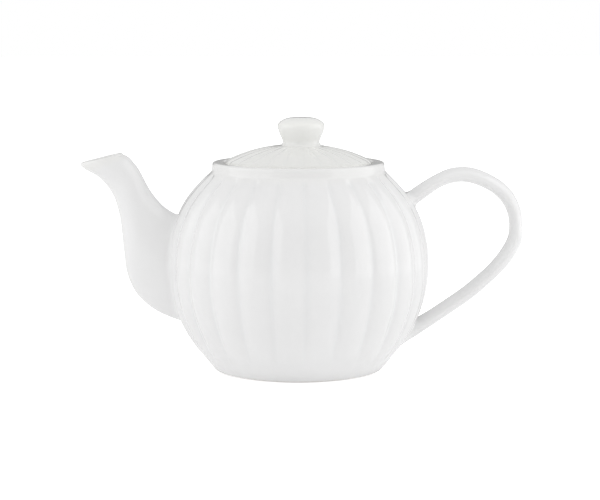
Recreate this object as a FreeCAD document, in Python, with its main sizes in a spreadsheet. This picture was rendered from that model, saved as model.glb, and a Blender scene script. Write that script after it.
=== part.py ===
import FreeCAD, Part
import Sketcher
import math
import os

from FreeCAD import Vector, Placement, Rotation

# Stoneware teapot, about 1.2 litres: fluted vessel on a small foot, smooth collar and rounded rim,
# separately cast spout and ear handle luted to it, and a fluted lid that lifts straight out of a
# gallery. +Z is up, the origin is the centre of the foot on the table plane, the spout points along
# -X and the handle along +X. All lengths are millimetres.

# ---------------------------------------------------------------- driving dimensions
# alias, value, note
DIMENSIONS = [
    ("lobe_count", 24, "convex flutes round the body and the lid"),
    ("flute_depth", 1.7, "groove below lobe crest at the belly"),
    ("flute_fade_low", 30.0, "height over which flutes grow from the foot"),
    ("flute_fade_high", 9.0, "height over which flutes die below the collar"),
    ("wall_thickness", 5.2, "lobe crest to inner wall"),
    ("foot_outer", 45.4, "foot ring outer radius"),
    ("foot_inner", 37.6, "foot ring inner radius"),
    ("foot_rise", 3.0, "foot ring height"),
    ("foot_edge", 0.8, "rounding of the foot ring's resting edges"),
    ("floor_top", 7.6, "inside floor level"),
    ("collar_radius", 48.0, "outside of the smooth collar"),
    ("collar_low", 106.0, "collar blank starts inside the shoulder"),
    ("collar_straight", 113.4, "top of the collar's straight side"),
    ("rim_top", 116.1, "highest level of the rim"),
    ("rim_round", 2.75, "radius of the outer rim rounding"),
    ("rim_crown_out", 45.4, "radius where the outer rim rounding ends"),
    ("rim_crown_in", 42.8, "radius where the inner rim rounding ends at the top"),
    ("rim_inner_round", 115.0, "level where the inner rim rounding starts"),
    ("gallery_radius", 41.7, "inside of the rim, round the lid"),
    ("gallery_level", 111.4, "ledge the lid rests on"),
    ("mouth_radius", 37.0, "opening inside the ledge"),
    ("ledge_under", 107.2, "underside of the ledge at the mouth"),
    ("notch_width", 15.0, "gap in the ledge for the lock tab"),
    ("notch_start", 30.0, "radius the notch cutter starts at, inside the mouth"),
    ("notch_reach", 40.9, "radius the notch is cut to"),
    ("notch_low", 100.0, "lower end of the notch cutter"),
    ("strainer_bore", 2.2, "radius of each strainer hole"),
    ("strainer_start", -88.0, "outer end of the strainer cutters, along X"),
    ("cutter_length", 30.0, "length of the strainer and vent cutters"),
    ("spout_wall", 3.0, "spout wall thickness"),
    ("strap_width", 12.6, "handle strap across"),
    ("strap_thick", 7.8, "handle strap thickness"),
    ("lid_flute_depth", 0.75, "groove depth on the dome"),
    ("lid_boss_radius", 11.6, "flat boss the knob sits on"),
    ("lid_boss_level", 125.4, "level of that boss"),
    ("flange_outer", 35.8, "locating flange outside radius"),
    ("flange_inner", 32.2, "locating flange inside radius"),
    ("flange_bottom", 101.5, "lower end of the flange"),
    ("flange_top", 114.0, "upper end of the flange, inside the dome"),
    ("vent_bore", 1.6, "radius of the steam vent"),
    ("vent_reach", 26.0, "vent's distance from the lid's axis"),
    ("vent_start", 105.0, "lower end of the vent cutter"),
    ("tab_reach", 39.9, "lock tab's outer radius"),
    ("tab_half", 6.0, "half the lock tab's width"),
    ("tab_bottom", 102.0, "lock tab's lower face"),
    ("tab_height", 3.8, "lock tab's height"),
    ("tab_round", 1.2, "rounding of the lock tab's outer corners"),
    ("knob_base_radius", 11.2, "knob's foot on the boss"),
    ("knob_neck_radius", 10.1, "narrowest part of the knob"),
    ("knob_neck_level", 128.2, "level of the neck"),
    ("knob_bulge_radius", 13.1, "widest part of the knob"),
    ("knob_bulge_level", 135.6, "level of the widest part"),
    ("knob_crown_radius", 9.2, "where the side turns over to the crown"),
    ("knob_crown_level", 139.2, "level of that turn"),
    ("knob_top", 141.0, "highest point of the knob"),
]

# Stations: name -> (columns, rows). Each number gets the alias name_column_NN.
STATIONS = {
    # lobe crest radius of the vessel at each level
    "body": (("level", "radius"), [
        (0.6, 47.2), (2.4, 48.7), (5.0, 50.9), (9.0, 54.1), (14.0, 58.2), (20.0, 62.2),
        (28.0, 66.4), (36.0, 69.4), (44.0, 71.4), (52.0, 72.5), (58.0, 72.75), (66.0, 72.45),
        (74.0, 71.25), (82.0, 69.1), (90.0, 65.8), (97.0, 61.5), (103.0, 56.4), (107.0, 52.5),
        (109.6, 49.2)]),
    # lobe crest radius and flute strength of the lid's dome at each level
    "lid": (("level", "radius", "flute"), [
        (111.4, 40.2, 0.0), (112.2, 40.6, 0.0), (114.6, 40.6, 0.0), (116.1, 40.3, 0.2),
        (117.15, 39.5, 0.5), (118.05, 37.9, 0.8), (119.35, 34.9, 1.0), (121.25, 30.0, 1.0),
        (122.75, 25.0, 0.9), (123.95, 20.0, 0.6), (124.85, 14.8, 0.2), (125.4, 11.6, 0.0)]),
    # spout sections from inside the vessel wall to the mouth: lower and upper edge in the plane of
    # symmetry, half width across it, and how much fuller the lower side is than the upper
    "spout": (("low_x", "low_z", "high_x", "high_z", "wide", "full"), [
        (-55.0, 24.4, -55.0, 84.2, 12.0, 0.10), (-68.4, 28.1, -63.7, 85.8, 12.0, 0.10),
        (-79.4, 33.2, -68.6, 87.4, 11.7, 0.08), (-86.9, 39.0, -71.8, 89.3, 11.3, 0.05),
        (-92.6, 46.4, -75.1, 91.8, 10.8, 0.02), (-95.6, 54.6, -77.7, 94.4, 10.3, 0.0),
        (-96.9, 63.8, -79.9, 97.0, 9.8, 0.0), (-97.8, 73.0, -82.0, 99.9, 9.3, 0.0),
        (-98.8, 82.4, -84.0, 103.2, 9.0, 0.0), (-100.6, 91.2, -85.9, 106.9, 8.8, 0.0),
        (-104.4, 100.6, -88.0, 111.1, 8.6, 0.0), (-110.6, 108.0, -91.0, 115.4, 8.5, 0.0),
        (-116.4, 111.6, -94.4, 118.6, 8.3, 0.0), (-121.2, 114.9, -98.0, 121.0, 8.0, 0.0)]),
    # centre line of the handle strap, from the shoulder root to the lower root
    "strap": (("x", "z"), [
        (50.0, 85.6), (54.8, 88.8), (59.3, 92.1), (64.1, 95.7), (69.1, 99.1), (73.4, 102.0),
        (78.6, 105.1), (84.6, 107.6), (91.6, 108.6), (98.4, 107.7), (105.1, 105.1),
        (111.4, 101.5), (116.5, 96.9), (120.2, 91.0), (122.1, 84.9), (122.6, 78.5),
        (122.0, 72.6), (119.9, 66.9), (115.9, 60.9), (110.2, 54.4), (103.1, 47.9), (96.0, 42.1),
        (89.1, 37.1), (82.2, 32.4), (75.3, 27.9), (68.8, 23.8), (62.3, 19.9), (55.7, 16.3),
        (49.2, 13.4)]),
    # strainer holes behind the spout: Y and height
    "strainer": (("across", "level"), [
        (-5.6, 46.0), (0.0, 46.0), (5.6, 46.0), (-2.8, 53.0), (2.8, 53.0), (-5.6, 60.0),
        (0.0, 60.0), (5.6, 60.0), (-2.8, 67.0), (2.8, 67.0), (0.0, 74.0)]),
}

doc = FreeCAD.newDocument("Teapot")
sheet = doc.addObject("Spreadsheet::Sheet", "Dimensions")
sheet.Label = "Dimensions"
SHEET = "Dimensions."


def fill_sheet():
    cells = list(DIMENSIONS)
    for name, (columns, rows) in STATIONS.items():
        for i, row in enumerate(rows):
            cells += [("%s_%s_%02d" % (name, column, i), value, "")
                      for column, value in zip(columns, row)]
    for line, (alias, value, note) in enumerate(cells, 1):
        sheet.set("A%d" % line, alias)
        sheet.set("B%d" % line, repr(float(value)))
        sheet.setAlias("B%d" % line, alias)
        if note:
            sheet.set("C%d" % line, note)
    doc.recompute()


def val(alias):
    return float(sheet.get(alias))


def stations(name):
    """Rows of a station table, read back from the spreadsheet."""
    columns, rows = STATIONS[name]
    return [tuple(val("%s_%s_%02d" % (name, column, i)) for column in columns)
            for i in range(len(rows))]


def measured(text):
    """Value and spreadsheet expression of a sum of aliases and numbers, such as 'rim_top - 6'."""
    value, sign, words = 0.0, 1, []
    for word in text.split():
        if word in ("+", "-"):
            sign = 1 if word == "+" else -1
        elif word[0].isalpha():
            value += sign * val(word)
            word = SHEET + word
        else:
            value += sign * float(word)
        words.append(word)
    return value, " ".join(words)


# ---------------------------------------------------------------- sketch helpers
# Point numbers on sketch geometry, and the sketch's own origin and axes
START, END, CENTRE = 1, 2, 3
ORIGIN = (-1, 1)
X_AXIS, Y_AXIS = -1, -2


def sketch_on(body, name, role="XZ_Plane", offset=None):
    plane = next(f for f in body.Origin.OriginFeatures if f.Role == role)
    sketch = body.newObject("Sketcher::SketchObject", name)
    sketch.AttachmentSupport = [(plane, "")]
    sketch.MapMode = "FlatFace"
    if offset:
        sketch.AttachmentOffset = offset
    return sketch


def relate(sketch, kind, *where):
    sketch.addConstraint(Sketcher.Constraint(kind, *where))


def drive(sketch, kind, where, value, expression):
    """Dimension that follows a spreadsheet expression."""
    number = sketch.addConstraint(Sketcher.Constraint(kind, *where, value))
    sketch.setExpression("Constraints[%d]" % number, expression)


def outline(sketch, corners, rounds=None):
    """Closed anticlockwise outline of lines and arcs in an empty sketch.

    corners holds (x, y) texts for measured(); rounds is {edge number: radius alias} for the edges
    that are arcs bulging outwards. Every corner is dimensioned from the sketch's origin."""
    rounds = rounds or {}
    places = [(measured(x), measured(y)) for x, y in corners]
    points = [Vector(x[0], y[0], 0) for x, y in places]
    count = len(points)
    for i in range(count):
        start, end = points[i], points[(i + 1) % count]
        edge = Part.LineSegment(start, end)
        if i in rounds:
            radius = val(rounds[i])
            chord = end - start
            sag = radius - math.sqrt(radius ** 2 - (chord.Length / 2) ** 2)
            outward = Vector(chord.y, -chord.x, 0).normalize()
            edge = Part.Arc(start, (start + end) * 0.5 + outward * sag, end)
        sketch.addGeometry(edge, False)
    for i in range(count):
        relate(sketch, "Coincident", i, END, (i + 1) % count, START)
    for i, place in enumerate(places):
        for kind, axis, (value, expression) in zip(("DistanceX", "DistanceY"),
                                                   (Y_AXIS, X_AXIS), place):
            if abs(value) < 1e-9:
                relate(sketch, "PointOnObject", i, START, axis)
            else:
                drive(sketch, kind, (*ORIGIN, i, START), value, expression)
    for i, alias in rounds.items():
        drive(sketch, "Radius", (i,), *measured(alias))


# ---------------------------------------------------------------- solid helpers
def revolve(body, sketch, name):
    turned = body.newObject("PartDesign::Revolution", name)
    turned.Profile = sketch
    turned.ReferenceAxis = (sketch, ["V_Axis"])
    turned.Angle = 360.0
    doc.recompute()


def cylinder(name, radius, height, base, rotation=None):
    """Cylinder whose radius, height and base point are texts for measured()."""
    solid = doc.addObject("Part::Cylinder", name)
    solid.setExpression("Radius", measured(radius)[1])
    solid.setExpression("Height", measured(height)[1])
    places = [measured(text) for text in base]
    solid.Placement = Placement(Vector(*(value for value, _ in places)), rotation or Rotation())
    for axis, (_, expression) in zip("xyz", places):
        solid.setExpression("Placement.Base." + axis, expression)
    return solid


def boolean(kind, name, base, tool):
    result = doc.addObject("Part::" + kind, name)
    result.Base = base
    result.Tool = tool
    return result


def fixed_shape(name, shape):
    feature = doc.addObject("Part::Feature", name)
    feature.Shape = shape
    return feature


def fluted_ring(radius, depth, level):
    """Closed ring of equal convex arcs, with a groove on the +X axis."""
    count = int(round(val("lobe_count")))
    pitch = 2 * math.pi / count

    def at(angle, reach):
        return Vector(reach * math.cos(angle), reach * math.sin(angle), level)

    groove = radius - depth
    return Part.Wire([
        Part.Arc(at(k * pitch, groove), at((k + 0.5) * pitch, radius),
                 at((k + 1) * pitch, groove)).toShape()
        for k in range(count)])


def fluted_loft(name, ring_name, rings):
    """Solid through fluted rings given as (radius, depth, level)."""
    features = [fixed_shape("%s_%02d" % (ring_name, i), fluted_ring(*ring))
                for i, ring in enumerate(rings)]
    solid = doc.addObject("Part::Loft", name)
    solid.Sections = features
    solid.Solid = True
    solid.Ruled = False
    return solid


# ---------------------------------------------------------------- vessel
FADE_START = 1.0           # level where the flutes begin to grow
COLLAR_OVERLAP = 6         # collar blank reaches this far inside the gallery radius
INNER_LEVELS = (16.0, 24.0, 34.0, 46.0, 58.0, 70.0, 82.0, 92.0, 99.0, 104.0)
SLOPE_STEP = 2             # levels this far above and below give the wall's slope
FLOOR_INSET = 13.5         # floor's edge, inwards from the first inner wall point
CHAMFER_INSET = 9.0        # outer end of the sloped floor edge, inwards from the same point
CHAMFER_RISE = 1.9         # height of that sloped edge
SINE_45 = 0.70711
CAVITY_ABOVE = 6.0         # cavity cutter runs this far past the rim
RECESS_BELOW = 2           # foot recess cutter starts this far below the table plane


def smooth_step(share):
    share = min(1.0, max(0.0, share))
    return share * share * (3 - 2 * share)


def make_vessel_blank():
    body = stations("body")
    top = body[-1][0]
    rings = []
    for level, radius in body:
        depth = (val("flute_depth") * smooth_step((level - FADE_START) / val("flute_fade_low"))
                 * smooth_step((top - level) / val("flute_fade_high")))
        rings.append((radius, depth, level))
    return fluted_loft("vessel_blank", "body_ring", rings)


def make_collar():
    """Smooth collar with a rounded rim, overlapping the top of the fluted blank."""
    collar = doc.addObject("PartDesign::Body", "collar_blank")
    sketch = sketch_on(collar, "collar_outline")
    inside = "gallery_radius - %g" % COLLAR_OVERLAP
    outline(sketch, [(inside, "collar_low"), ("collar_radius", "collar_low"),
                     ("collar_radius", "collar_straight"), ("rim_crown_out", "rim_top"),
                     (inside, "rim_top")], {2: "rim_round"})
    revolve(collar, sketch, "collar_turned")
    return collar


def inner_wall():
    """Crest line of the vessel moved inwards by the wall thickness, square to its slope."""
    body = stations("body")

    def crest(z):
        for (z0, r0), (z1, r1) in zip(body[:-1], body[1:]):
            if z <= z1:
                return r0 + (z - z0) / (z1 - z0) * (r1 - r0)
        return body[-1][1]

    wall = val("wall_thickness")
    points = []
    for z in INNER_LEVELS:
        slope = (crest(z + SLOPE_STEP) - crest(z - SLOPE_STEP)) / (2 * SLOPE_STEP)
        length = math.hypot(1, slope)
        points.append(Vector(crest(z) - wall / length, 0, z + wall * slope / length))
    return points


def make_cavity():
    """Inside of the vessel: floor, wall, ledge, gallery and the inner rounding of the rim."""
    wall = inner_wall()
    floor = val("floor_top")
    floor_centre = Vector(0, 0, floor)
    floor_edge = Vector(wall[0].x - FLOOR_INSET, 0, floor)
    wall_foot = Vector(wall[0].x - CHAMFER_INSET, 0, floor + CHAMFER_RISE)
    spline = Part.BSplineCurve()
    spline.interpolate([wall_foot] + wall)

    gallery = val("gallery_radius")
    ledge = [wall[-1], Vector(val("mouth_radius"), 0, val("ledge_under")),
             Vector(val("mouth_radius"), 0, val("gallery_level")),
             Vector(gallery, 0, val("gallery_level")),
             Vector(gallery, 0, val("rim_inner_round"))]
    rim_low = ledge[-1]
    rim_high = Vector(val("rim_crown_in"), 0, val("rim_top"))
    rim_middle = Vector(rim_high.x - (rim_high.x - rim_low.x) * SINE_45, 0,
                        rim_low.z + (rim_high.z - rim_low.z) * SINE_45)
    above = rim_high.z + CAVITY_ABOVE
    closing = [rim_high, Vector(rim_high.x, 0, above), Vector(0, 0, above), floor_centre]

    def lines(points):
        return [Part.makeLine(a, b) for a, b in zip(points[:-1], points[1:])]

    edges = (lines([floor_centre, floor_edge, wall_foot]) + [spline.toShape()] + lines(ledge)
             + [Part.Arc(rim_low, rim_middle, rim_high).toShape()] + lines(closing))
    cavity = doc.addObject("Part::Revolution", "vessel_cavity")
    cavity.Source = fixed_shape("cavity_outline", Part.Face(Part.Wire(edges)))
    cavity.Axis = Vector(0, 0, 1)
    cavity.Base = Vector(0, 0, 0)
    cavity.Angle = 360.0
    cavity.Solid = True
    return cavity


def make_notch():
    """Gap in the ledge on the handle's side, through which the lock tab passes."""
    notch = doc.addObject("Part::Box", "ledge_notch")
    for prop, expression in (
            ("Length", "%snotch_reach - %snotch_start" % (SHEET, SHEET)),
            ("Width", SHEET + "notch_width"),
            ("Height", "%sgallery_level + 1 - %snotch_low" % (SHEET, SHEET)),
            ("Placement.Base.x", SHEET + "notch_start"),
            ("Placement.Base.y", "-%snotch_width / 2" % SHEET),
            ("Placement.Base.z", SHEET + "notch_low")):
        notch.setExpression(prop, expression)
    return notch


def make_strainer():
    along_x = Rotation(Vector(0, 1, 0), 90)
    strainer = doc.addObject("Part::Compound", "strainer_holes")
    strainer.Links = [
        cylinder("strainer_%02d" % i, "strainer_bore", "cutter_length",
                 ("strainer_start", "strainer_across_%02d" % i, "strainer_level_%02d" % i),
                 along_x)
        for i in range(len(STATIONS["strainer"][1]))]
    return strainer


def make_pot(vessel_blank):
    collar = make_collar()
    cavity = make_cavity()
    # the recess under the vessel takes the foot ring
    recess = cylinder("foot_recess", "foot_outer", "foot_rise + %g" % RECESS_BELOW,
                      ("0", "0", "%g" % -RECESS_BELOW))
    notch = make_notch()
    strainer = make_strainer()
    pot = boolean("Fuse", "vessel_with_collar", vessel_blank, collar)
    for name, tool in (("vessel_hollowed", cavity), ("vessel_recessed", recess),
                       ("vessel_notched", notch), ("pot_body", strainer)):
        pot = boolean("Cut", name, pot, tool)
    return pot


def make_foot():
    foot = doc.addObject("PartDesign::Body", "foot_ring")
    sketch = sketch_on(foot, "foot_outline")
    outline(sketch, [("foot_inner + foot_edge", "0"), ("foot_outer - foot_edge", "0"),
                     ("foot_outer", "foot_edge"), ("foot_outer", "foot_rise"),
                     ("foot_inner", "foot_rise"), ("foot_inner", "foot_edge")],
            {1: "foot_edge", 5: "foot_edge"})
    revolve(foot, sketch, "foot_turned")
    return foot


# ---------------------------------------------------------------- spout
RING_STEPS = 24                      # points round each section
BORE_START = Vector(4.0, 0, 0)       # the bore starts this much deeper in the vessel
BORE_EXIT = Vector(-3.0, 0, 2.8)     # and runs this far out through the lip


def egg_row(low, high, wide, full):
    """Points round a smooth ring square to the plane of symmetry, upper edge first."""
    middle, half = (low + high) * 0.5, (high - low) * 0.5
    points = []
    for k in range(RING_STEPS + 1):
        angle = 2 * math.pi * k / RING_STEPS
        y = 0.0
        if k not in (0, RING_STEPS // 2, RING_STEPS):
            y = wide * math.sin(angle) * (1 - full * math.cos(angle))
        points.append(middle + half * math.cos(angle) + Vector(0, y, 0))
    return points


def tube_solid(rows):
    """Solid skinned over rows of points: a smooth surface on each side (+Y, -Y), two flat ends."""
    half = RING_STEPS // 2
    faces = []
    for part in ([row[:half + 1] for row in rows], [row[half:] for row in rows]):
        surface = Part.BSplineSurface()
        surface.interpolate(part)
        faces.append(surface.toShape())

    def closes(edge, row):
        ends = [vertex.Point for vertex in edge.Vertexes]
        return len(ends) == 2 and all(
            min((end - row[0]).Length, (end - row[half]).Length) < 1e-4 for end in ends)

    caps = []
    for row in (rows[0], rows[-1]):
        rim = [edge for face in faces for edge in face.Edges if closes(edge, row)]
        caps.append(Part.Face(Part.Wire(Part.__sortEdges__(rim))))
    shell = Part.makeShell(faces + caps)
    shell.sewShape()
    # sewing may leave another kind of shape than a shell
    solid = Part.makeSolid(shell if shell.ShapeType == "Shell" else Part.Shell(shell.Faces))
    if solid.Volume < 0:
        solid.reverse()
    return solid


def spout_rows(wall):
    """Spout sections, drawn in by wall all round."""
    rows = []
    for low_x, low_z, high_x, high_z, wide, full in stations("spout"):
        low, high = Vector(low_x, 0, low_z), Vector(high_x, 0, high_z)
        along = (high - low).normalize()
        rows.append(egg_row(low + along * wall, high - along * wall, wide - wall, full))
    return rows


def make_spout(vessel_blank):
    bore_rows = spout_rows(val("spout_wall"))
    bore_rows.insert(0, [point + BORE_START for point in bore_rows[0]])
    bore_rows.append([point + BORE_EXIT for point in bore_rows[-1]])
    skin = fixed_shape("spout_skin", tube_solid(spout_rows(0.0)))
    bore = fixed_shape("spout_bore", tube_solid(bore_rows))
    tube = boolean("Cut", "spout_tube", skin, bore)
    return boolean("Cut", "spout", tube, vessel_blank)


# ---------------------------------------------------------------- handle
def draw_strap_section(sketch):
    """Flat-sided strap with half-round edges: lines 0 and 2, arcs 1 and 3."""
    half_width, half_thick = val("strap_width") / 2, val("strap_thick") / 2
    flat = half_width - half_thick
    low_right, high_right = Vector(flat, -half_thick, 0), Vector(flat, half_thick, 0)
    low_left, high_left = Vector(-flat, -half_thick, 0), Vector(-flat, half_thick, 0)
    for edge in (Part.LineSegment(low_left, low_right),
                 Part.Arc(low_right, Vector(half_width, 0, 0), high_right),
                 Part.LineSegment(high_right, high_left),
                 Part.Arc(high_left, Vector(-half_width, 0, 0), low_left)):
        sketch.addGeometry(edge, False)
    for i in range(4):
        relate(sketch, "Tangent", i, END, (i + 1) % 4, START)
    relate(sketch, "Horizontal", 0)
    relate(sketch, "PointOnObject", 1, CENTRE, X_AXIS)
    relate(sketch, "Symmetric", 1, CENTRE, 3, CENTRE, *ORIGIN)
    drive(sketch, "Radius", (1,), half_thick, SHEET + "strap_thick / 2")
    drive(sketch, "DistanceX", (3, CENTRE, 1, CENTRE), *measured("strap_width - strap_thick"))


def make_handle(vessel_blank):
    strap = doc.addObject("PartDesign::Body", "handle_strap")
    path = sketch_on(strap, "strap_path")
    points = [Vector(x, z, 0) for x, z in stations("strap")]
    curve = Part.BSplineCurve()
    curve.interpolate(points)
    path.addGeometry(curve, False)
    doc.recompute()

    # the section stands at the shoulder root, tilted square to the path
    tangent = curve.tangent(curve.FirstParameter)[0]
    tilt = Rotation(Vector(1, 0, 0), -math.degrees(math.atan2(tangent.y, tangent.x)))
    section = sketch_on(strap, "strap_section", "YZ_Plane",
                        Placement(Vector(0, points[0].y, points[0].x), tilt))
    draw_strap_section(section)
    doc.recompute()

    pipe = strap.newObject("PartDesign::AdditivePipe", "strap_swept")
    pipe.Profile = section
    pipe.Spine = (path, ["Edge1"])
    pipe.Mode = "Standard"
    pipe.Transition = "Transformed"
    doc.recompute()
    return boolean("Cut", "handle", strap, vessel_blank)


# ---------------------------------------------------------------- lid
def make_lid():
    dome = fluted_loft("lid_dome", "lid_ring",
                       [(radius, val("lid_flute_depth") * flute, level)
                        for level, radius, flute in stations("lid")])
    flange = cylinder("lid_flange", "flange_outer", "flange_top - flange_bottom",
                      ("0", "0", "flange_bottom"))
    under = doc.addObject("PartDesign::Body", "lid_underside")
    sketch = sketch_on(under, "lid_underside_outline")
    # hollow: open below the flange, straight inside it, then sloping up under the boss
    outline(sketch, [("0", "flange_bottom - 2"), ("flange_inner", "flange_bottom - 2"),
                     ("flange_inner", "gallery_level + 1.8"),
                     ("flange_inner - 4", "gallery_level + 4.6"),
                     ("lid_boss_radius + 3", "lid_boss_level - 5.2"),
                     ("0", "lid_boss_level - 4.4")])
    revolve(under, sketch, "lid_underside_turned")
    vent = cylinder("lid_vent", "vent_bore", "cutter_length", ("0", "vent_reach", "vent_start"))
    lid = boolean("Fuse", "lid_with_flange", dome, flange)
    lid = boolean("Cut", "lid_hollowed", lid, under)
    return boolean("Cut", "lid", lid, vent)


def make_knob():
    knob = doc.addObject("PartDesign::Body", "lid_knob")
    sketch = sketch_on(knob, "knob_outline")
    boss, neck, bulge, crown, top = (val(alias) for alias in (
        "lid_boss_level", "knob_neck_level", "knob_bulge_level", "knob_crown_level", "knob_top"))
    base_r, neck_r, bulge_r, crown_r = (
        val("knob_%s_radius" % part) for part in ("base", "neck", "bulge", "crown"))
    # the named stations, with points between them at shares of each step
    side = [(base_r, boss),
            (neck_r + 0.25 * (base_r - neck_r), boss + 0.45 * (neck - boss)),
            (neck_r, neck),
            (neck_r + 0.17 * (bulge_r - neck_r), neck + 0.34 * (bulge - neck)),
            (neck_r + 0.60 * (bulge_r - neck_r), neck + 0.70 * (bulge - neck)),
            (bulge_r, bulge),
            (bulge_r - 0.16 * (bulge_r - crown_r), bulge + 0.53 * (crown - bulge)),
            (crown_r, crown),
            (crown_r * 0.52, top - 0.42),
            (0, top)]
    curve = Part.BSplineCurve()
    curve.interpolate([Vector(x, z, 0) for x, z in side],
                      InitialTangent=Vector(-0.75, 1.0, 0), FinalTangent=Vector(-1.0, 0, 0))
    sketch.addGeometry(curve, False)
    sketch.addGeometry(Part.LineSegment(Vector(0, top, 0), Vector(0, boss, 0)), False)
    sketch.addGeometry(Part.LineSegment(Vector(0, boss, 0), Vector(base_r, boss, 0)), False)
    for i in range(3):
        relate(sketch, "Coincident", i, END, (i + 1) % 3, START)
    for point, kind, alias in ((START, "DistanceX", "knob_base_radius"),
                               (START, "DistanceY", "lid_boss_level"),
                               (END, "DistanceY", "knob_top")):
        drive(sketch, kind, (*ORIGIN, 0, point), *measured(alias))
    relate(sketch, "Vertical", 1)
    relate(sketch, "PointOnObject", 0, END, Y_AXIS)
    relate(sketch, "Horizontal", 2)
    revolve(knob, sketch, "knob_turned")
    return knob


# ---------------------------------------------------------------- lock tab on the lid's flange
def make_tab():
    tab = doc.addObject("PartDesign::Body", "lid_lock_tab")
    sketch = sketch_on(tab, "tab_outline", "XY_Plane",
                       Placement(Vector(0, 0, val("tab_bottom")), Rotation()))
    sketch.setExpression("AttachmentOffset.Base.z", SHEET + "tab_bottom")
    inner, outer, half = val("flange_outer"), val("tab_reach"), val("tab_half")
    inner_x = math.sqrt(inner * inner - half * half)
    outer_x = math.sqrt(outer * outer - half * half)
    inner_low, inner_high = Vector(inner_x, -half, 0), Vector(inner_x, half, 0)
    outer_low, outer_high = Vector(outer_x, -half, 0), Vector(outer_x, half, 0)
    for edge in (Part.LineSegment(inner_low, outer_low),
                 Part.Arc(outer_low, Vector(outer, 0, 0), outer_high),
                 Part.LineSegment(outer_high, inner_high),
                 Part.Arc(inner_low, Vector(inner, 0, 0), inner_high)):
        sketch.addGeometry(edge, False)
    for joint in ((0, END, 1, START), (1, END, 2, START), (2, END, 3, END), (3, START, 0, START),
                  (1, CENTRE, *ORIGIN), (3, CENTRE, *ORIGIN)):
        relate(sketch, "Coincident", *joint)
    relate(sketch, "Horizontal", 0)
    relate(sketch, "Horizontal", 2)
    drive(sketch, "Radius", (1,), *measured("tab_reach"))
    drive(sketch, "Radius", (3,), *measured("flange_outer"))
    drive(sketch, "DistanceY", (*ORIGIN, 2, START), *measured("tab_half"))
    relate(sketch, "Symmetric", 1, START, 1, END, X_AXIS)
    doc.recompute()

    pad = tab.newObject("PartDesign::Pad", "tab_pad")
    pad.Profile = sketch
    pad.setExpression("Length", SHEET + "tab_height")
    doc.recompute()

    # the upright edges at the tab's outer end
    corners = []
    for i, edge in enumerate(pad.Shape.Edges, 1):
        start, end = edge.Vertexes[0].Point, edge.Vertexes[-1].Point
        if abs(start.z - end.z) > 1 and start.x > (inner_x + outer_x) / 2:
            corners.append("Edge%d" % i)
    rounds = tab.newObject("PartDesign::Fillet", "tab_rounds")
    rounds.Base = (pad, corners)
    rounds.setExpression("Radius", SHEET + "tab_round")
    tab.Tip = rounds
    doc.recompute()
    return tab


# ---------------------------------------------------------------- build, check and export
fill_sheet()
vessel_blank = make_vessel_blank()
PIECES = {
    "pot_body": make_pot(vessel_blank),
    "foot_ring": make_foot(),
    "spout": make_spout(vessel_blank),
    "handle": make_handle(vessel_blank),
    "lid": make_lid(),
    "lid_knob": make_knob(),
    "lid_lock_tab": make_tab(),
}
for name, piece in PIECES.items():
    piece.Label = name
doc.recompute()

failed = ["%s (%s) %s" % (o.Name, ",".join(o.State), o.getStatusString()) for o in doc.Objects
          if "Invalid" in o.State or "Error" in o.State]
if failed:
    raise RuntimeError("failed objects: " + "; ".join(failed))
for name, piece in PIECES.items():
    shape = piece.Shape
    if shape.isNull() or not shape.isValid() or not shape.Solids:
        raise RuntimeError("bad shape: " + name)

os.makedirs("parts", exist_ok=True)
for name, piece in PIECES.items():
    piece.Shape.exportStep(os.path.join("parts", name + ".step"))
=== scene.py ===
"""A fluted, white-glazed stoneware teapot with its lid, on white paper in a light tent.

Pot and lid are modelled in millimetres and scaled to metres when a mesh is made. +Z is up, the
origin is the foot's centre on the table, the spout points along -X and the handle along +X.
The camera looks from -Y. The floor, lights and camera are in metres.
"""
import bmesh
import bpy
import math
import numpy as np
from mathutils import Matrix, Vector


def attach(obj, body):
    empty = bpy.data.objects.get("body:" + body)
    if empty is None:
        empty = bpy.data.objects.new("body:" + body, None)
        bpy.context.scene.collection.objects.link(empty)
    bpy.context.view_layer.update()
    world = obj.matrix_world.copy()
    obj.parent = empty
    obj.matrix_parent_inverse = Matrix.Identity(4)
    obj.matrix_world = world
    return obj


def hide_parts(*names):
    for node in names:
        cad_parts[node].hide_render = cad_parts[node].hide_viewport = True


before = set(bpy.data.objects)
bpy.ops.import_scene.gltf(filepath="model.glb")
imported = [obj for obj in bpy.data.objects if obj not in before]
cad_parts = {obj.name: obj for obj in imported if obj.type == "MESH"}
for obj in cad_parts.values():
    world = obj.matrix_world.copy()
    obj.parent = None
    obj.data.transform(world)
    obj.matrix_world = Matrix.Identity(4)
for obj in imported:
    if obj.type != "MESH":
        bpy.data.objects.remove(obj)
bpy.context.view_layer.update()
MM = 0.001

# ------------------------------------------------------------------ driving dimensions, mm

LOBES = 24
PITCH = 2 * math.pi / LOBES
LOBE_SHIFT = 0.5              # in pitches: grooves, not crests, lie on the axes
POT_GROOVE = 1.7              # deepest groove between the pot's lobes
LID_GROOVE = 0.5
POT_WALL = 5.2

FOOT_OUTER, FOOT_INNER = 45.35, 37.65
FOOT_TOP = 2.96               # bare ring, let into the glazed underside
UNDERSIDE_CENTRE = 3.9
FLOOR_TOP = 7.6

MOUTH_RADIUS = 41.75
RIM_TOP = 116.15
LEDGE_RADIUS, LEDGE_TOP = 37.0, 111.4
NOTCH_HALF_WIDTH, NOTCH_RADIUS = 7.5, 40.9

LID_RADIUS = 40.6
LID_SEAT = 111.45
FLANGE_INNER, FLANGE_OUTER = 32.2, 35.8
FLANGE_BOTTOM = 101.55
KNOB_OFFSET = 1.5             # the knob sits a little off the lid's centre, towards the handle

VIEW_TURN = math.radians(-3.5)   # the camera's turn about the pot
VIEW_AIM_LEVEL = 66.567

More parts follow.
